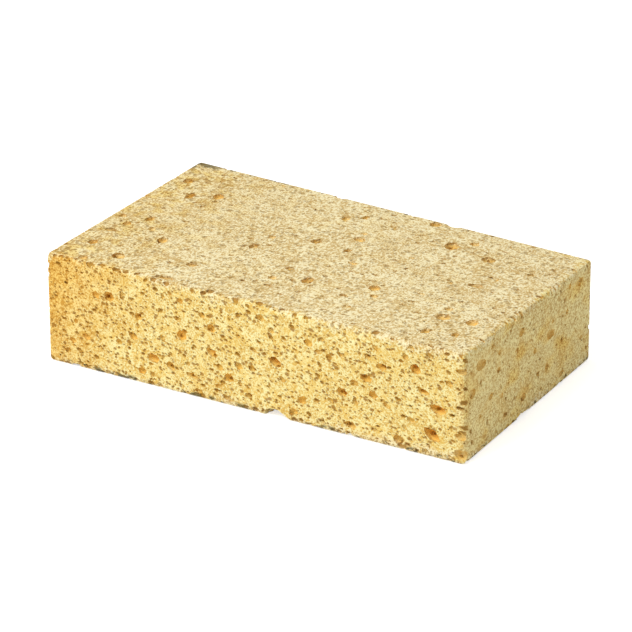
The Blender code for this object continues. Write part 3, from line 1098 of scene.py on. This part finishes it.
@dataclass
class SpongeBlock:
    """The sponge itself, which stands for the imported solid."""

    name: str = "sponge_foam"
    finish: FoamFinish = field(default_factory=FoamFinish)
    layers: tuple[PoreLayer, ...] = (
        PoreLayer(name="edge", spacing=2.1 * MM, narrowest=0.5 * MM, widest=1.6 * MM, sides=6, rings=3,
                  on_sides=0.0, on_flats=0.0, on_ends=0.0, on_edges=1.0,
                  ragged=0.55, depth=0.95, sink=0.0, seed=5),
        PoreLayer(name="medium", spacing=3.9 * MM, narrowest=0.55 * MM, widest=1.05 * MM, sides=6, rings=4,
                  on_sides=1.0, on_flats=0.7, on_ends=0.4, on_edges=0.5,
                  ragged=0.45, depth=1.3, sink=-0.05, seed=11),
        PoreLayer(name="small", spacing=2.35 * MM, narrowest=0.42 * MM, widest=0.72 * MM, sides=5, rings=2,
                  on_sides=1.0, on_flats=0.2, on_ends=0.4, on_edges=0.4,
                  ragged=0.35, depth=1.7, sink=-0.12, seed=23),
        PoreLayer(name="fine", spacing=2.0 * MM, narrowest=0.32 * MM, widest=0.48 * MM, sides=4, rings=2,
                  on_sides=0.6, on_flats=0.0, on_ends=0.1, on_edges=0.3,
                  ragged=0.30, depth=1.9, sink=-0.12, seed=37),
    )
    skin_turn: float = math.radians(50)  # faces that meet more sharply than this part skin from wall
    sharp: float = math.radians(30)  # faces that meet more sharply than this are shaded apart
    joined: float = 0.001 * MM  # points that are nearer than this are one
    rounder: WallRounder = WallRounder()

    def build(self) -> bpy.types.Object:
        """Builds the piece and hands it to the frame.

        Returns:
            The finished piece.
        """
        material = self.finish.make(Vector(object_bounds()[1]))
        block = self.merged_copy()
        skin = self.skin_faces(block)
        cover = self.cover_of(block, skin)
        mesh = self.rounder.rounded(block, skin, self.name)
        block.free()
        piece = bpy.data.objects.new(self.name, mesh)
        bpy.context.scene.collection.objects.link(piece)
        self.cut_layers(piece, material)
        self.drop_crumbs(piece)
        self.measure_depths(piece, cover)
        piece.data.materials.clear()
        piece.data.materials.append(material)
        piece.data.set_sharp_from_angle(angle=self.sharp)
        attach(piece, BODY)
        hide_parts(NODE)
        return piece

    def merged_copy(self) -> bmesh.types.BMesh:
        """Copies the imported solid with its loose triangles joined.

        Returns:
            The copy, with its points and faces in an order that its shape alone decides.
        """
        loose = bmesh.new()
        loose.from_mesh(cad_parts[NODE].data)
        bmesh.ops.remove_doubles(loose, verts=loose.verts, dist=self.joined)
        points = sorted(loose.verts, key=lambda vert: tuple(vert.co))
        numbers = {vert: number for number, vert in enumerate(points)}
        rings = []
        for face in loose.faces:
            ring = [numbers[vert] for vert in face.verts]
            first = ring.index(min(ring))
            rings.append(ring[first:] + ring[:first])
        block = bmesh.new()
        verts = [block.verts.new(vert.co) for vert in points]
        for ring in sorted(rings):
            block.faces.new([verts[number] for number in ring])
        block.verts.index_update()
        block.faces.index_update()
        loose.free()
        return block

    def skin_faces(self, block: bmesh.types.BMesh) -> set[bmesh.types.BMFace]:
        """Finds the faces of the block's own skin, as against the walls of its pores.

        Args:
            block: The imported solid's mesh.

        Returns:
            The faces that are reached from the widest one without a sharp turn.
        """
        block.normal_update()
        start = max(block.faces, key=lambda face: face.calc_area())
        found = {start}
        waiting = [start]
        while waiting:
            face = waiting.pop()
            for edge in face.edges:
                if edge.calc_face_angle(math.pi) > self.skin_turn:
                    continue
                fresh = [other for other in edge.link_faces if other not in found]
                found.update(fresh)
                waiting.extend(fresh)
        return found

    def cover_of(self, block: bmesh.types.BMesh, skin: set[bmesh.types.BMFace]) -> bmesh.types.BMesh:
        """Makes the block's skin without its pores, to measure depths from.

        Args:
            block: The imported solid's mesh.
            skin: The faces of its skin.

        Returns:
            A mesh of the closed skin.
        """
        cover = block.copy()
        cover.faces.ensure_lookup_table()
        walls = [cover.faces[face.index] for face in block.faces if face not in skin]
        bmesh.ops.delete(cover, geom=walls, context="FACES")
        bmesh.ops.holes_fill(cover, edges=cover.edges, sides=0)
        bmesh.ops.triangulate(cover, faces=cover.faces)
        return cover

    def cut_layers(self, piece: bpy.types.Object, material: bpy.types.Material) -> None:
        """Cuts every layer of finer pores.

        Args:
            piece: The foam, whose mesh is changed.
            material: The foam's material.
        """
        cutter = PoreCutter()
        for layer in self.layers:
            cutter.graph.put_on(piece, layer.values(material))
            graph = bpy.context.evaluated_depsgraph_get()
            cut = bpy.data.meshes.new_from_object(piece.evaluated_get(graph))
            piece.modifiers.clear()
            piece.data = cut
            cut.calc_loop_triangles()
            log.info("%s pores cut: %d triangles", layer.name, len(cut.loop_triangles))

    def drop_crumbs(self, piece: bpy.types.Object) -> None:
        """Deletes the bits that the pores cut loose.

        Args:
            piece: The foam, whose mesh is changed.
        """
        block = bmesh.new()
        block.from_mesh(piece.data)
        seen: set[int] = set()
        bodies = []
        for first in block.verts:
            if first.index in seen:
                continue
            body = [first]
            seen.add(first.index)
            for vert in body:
                for edge in vert.link_edges:
                    other = edge.other_vert(vert)
                    if other.index not in seen:
                        seen.add(other.index)
                        body.append(other)
            bodies.append(body)
        bodies.sort(key=len)
        crumbs = [vert for body in bodies[:-1] for vert in body]
        bmesh.ops.delete(block, geom=crumbs, context="VERTS")
        block.to_mesh(piece.data)
        block.free()
        log.info("crumbs dropped: %d", len(bodies) - 1)

    def measure_depths(self, piece: bpy.types.Object, cover: bmesh.types.BMesh) -> None:
        """Writes how deep under the closed skin each point lies.

        Args:
            piece: The foam.
            cover: The closed skin, which is freed.
        """
        tree = BVHTree.FromBMesh(cover)
        depths = [tree.find_nearest(vert.co)[3] for vert in piece.data.vertices]
        cover.free()
        piece.data.attributes.new(DEPTH_ATTRIBUTE, "FLOAT", "POINT").data.foreach_set("value", depths)


@dataclass(frozen=True)
class Viewpoint:
    """Where the photograph was taken from, and through what lens."""

    azimuth: float = math.radians(28.77)  # from the front, towards the right-hand end
    elevation: float = math.radians(24.10)
    roll: float = math.radians(1.37)
    aim: Triple = (0.01 * MM, 0.32 * MM, 19.0 * MM)
    distance: float = 1072.1 * MM
    to_right: float = -1.76 * MM
    upward: float = -3.11 * MM
    focal_pixels: float = 3237.5
    picture_pixels: int = 632
    sensor: float = 36.0

    def build(self) -> bpy.types.Object:
        """Makes the camera and gives it to the scene.

        Returns:
            The camera.
        """
        back = outward(self.azimuth, self.elevation)
        level = Vector((math.cos(self.azimuth), math.sin(self.azimuth), 0.0))
        upright = back.cross(level)
        right = math.cos(self.roll) * level + math.sin(self.roll) * upright
        up = math.cos(self.roll) * upright - math.sin(self.roll) * level
        eye = Vector(self.aim) + right * self.to_right + up * self.upward + back * self.distance
        data = bpy.data.cameras.new("photograph_camera")
        data.sensor_width = self.sensor
        data.lens = self.sensor * self.focal_pixels / self.picture_pixels
        camera = bpy.data.objects.new(data.name, data)
        turn = Matrix((right, up, back)).transposed().to_4x4()
        camera.matrix_world = Matrix.Translation(eye) @ turn
        bpy.context.scene.collection.objects.link(camera)
        bpy.context.scene.camera = camera
        return camera


@dataclass(frozen=True)
class Lamp:
    """One area lamp."""

    name: str
    azimuth: float  # degrees from the front, towards the right-hand end
    elevation: float
    watts: float
    size: float
    colour: Triple
    distance: float = 1.5

    def build(self, aim: Vector) -> bpy.types.Object:
        """Makes the lamp and points it at the sponge.

        Args:
            aim: What it points at.

        Returns:
            The lamp.
        """
        back = outward(math.radians(self.azimuth), math.radians(self.elevation))
        data = bpy.data.lights.new(self.name, "AREA")
        data.energy = self.watts
        data.size = self.size
        data.color = self.colour
        lamp = bpy.data.objects.new(self.name, data)
        turn = back.to_track_quat("Z", "Y").to_matrix().to_4x4()
        lamp.matrix_world = Matrix.Translation(aim + back * self.distance) @ turn
        bpy.context.scene.collection.objects.link(lamp)
        return lamp


@dataclass
class Studio:
    """The plain white floor, the lamps and the world."""

    lamps: tuple[Lamp, ...] = (
        Lamp(name="key_lamp", azimuth=-24.0, elevation=50.0, watts=13.2, size=0.7, colour=(1.0, 0.97, 0.92)),
    )
    lamp_aim: Triple = (0.0, 0.0, 20 * MM)
    world_white: Colour = linear(255, 255, 255)
    world_strength: float = 0.56
    floor_size: float = 6.0
    floor_gap: float = 0.05 * MM
    floor_white: float = 0.86
    floor_roughness: float = 0.9
    floor_glow: float = 0.6

    def build(self) -> None:
        """Makes the whole studio."""
        self.floor()
        for lamp in self.lamps:
            lamp.build(Vector(self.lamp_aim))
        self.sky()

    def seen(self, graph: ShaderGraph) -> Number:
        """Tells what is looked at from what only lights the sponge.

        Args:
            graph: The node tree of the floor's material or of the world.

        Returns:
            1 for what the camera, a glossy surface or glass sees.
        """
        path = graph.node("ShaderNodeLightPath")
        camera = Number(graph, path.outputs["Is Camera Ray"])
        return camera.at_least(path.outputs["Is Glossy Ray"]).at_least(path.outputs["Is Transmission Ray"])

    def floor(self) -> bpy.types.Object:
        """Makes the floor, which stays white to the camera apart from the sponge's shadow.

        Returns:
            The floor.
        """
        half = self.floor_size / 2
        mesh = bpy.data.meshes.new("studio_floor")
        corners = [(-half, -half, -self.floor_gap), (half, -half, -self.floor_gap),
                   (half, half, -self.floor_gap), (-half, half, -self.floor_gap)]
        mesh.from_pydata(corners, [], [(0, 1, 2, 3)])
        floor = bpy.data.objects.new(mesh.name, mesh)
        bpy.context.scene.collection.objects.link(floor)
        material = bpy.data.materials.new("studio_white")
        material.use_nodes = True
        graph = ShaderGraph(material.node_tree)
        white = (self.floor_white, self.floor_white, self.floor_white, 1.0)
        shader = graph.node("ShaderNodeBsdfPrincipled", None, {
            "Base Color": white,
            "Roughness": self.floor_roughness,
            "Specular IOR Level": 0.0,
        })
        glow = graph.node("ShaderNodeEmission", None, {"Strength": self.seen(graph) * self.floor_glow})
        both = graph.node("ShaderNodeAddShader", None, {0: shader.outputs[0], 1: glow.outputs[0]})
        graph.node("ShaderNodeOutputMaterial", None, {"Surface": both.outputs[0]})
        mesh.materials.append(material)
        floor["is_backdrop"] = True
        return floor

    def sky(self) -> None:
        """Lights the sponge evenly and shows plain white behind it."""
        world = bpy.data.worlds.new("studio_world")
        world.use_nodes = True
        graph = ShaderGraph(world.node_tree)
        strength = self.seen(graph).at_least(self.world_strength)
        background = graph.node("ShaderNodeBackground", None,
                                {"Color": self.world_white, "Strength": strength})
        graph.node("ShaderNodeOutputWorld", None, {"Surface": background.outputs[0]})
        bpy.context.scene.world = world


def main() -> None:
    """Builds the camera, the studio and the sponge, and notes how big it came out."""
    logging.basicConfig(level=logging.INFO)
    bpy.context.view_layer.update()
    Viewpoint().build()
    log.info("camera placed")
    Studio().build()
    log.info("studio lit")
    piece = SpongeBlock().build()
    piece.data.calc_loop_triangles()
    log.info("%s: %d triangles", piece.name, len(piece.data.loop_triangles))
    bpy.context.scene.view_settings.view_transform = "Standard"


if __name__ == "__main__":
    main()
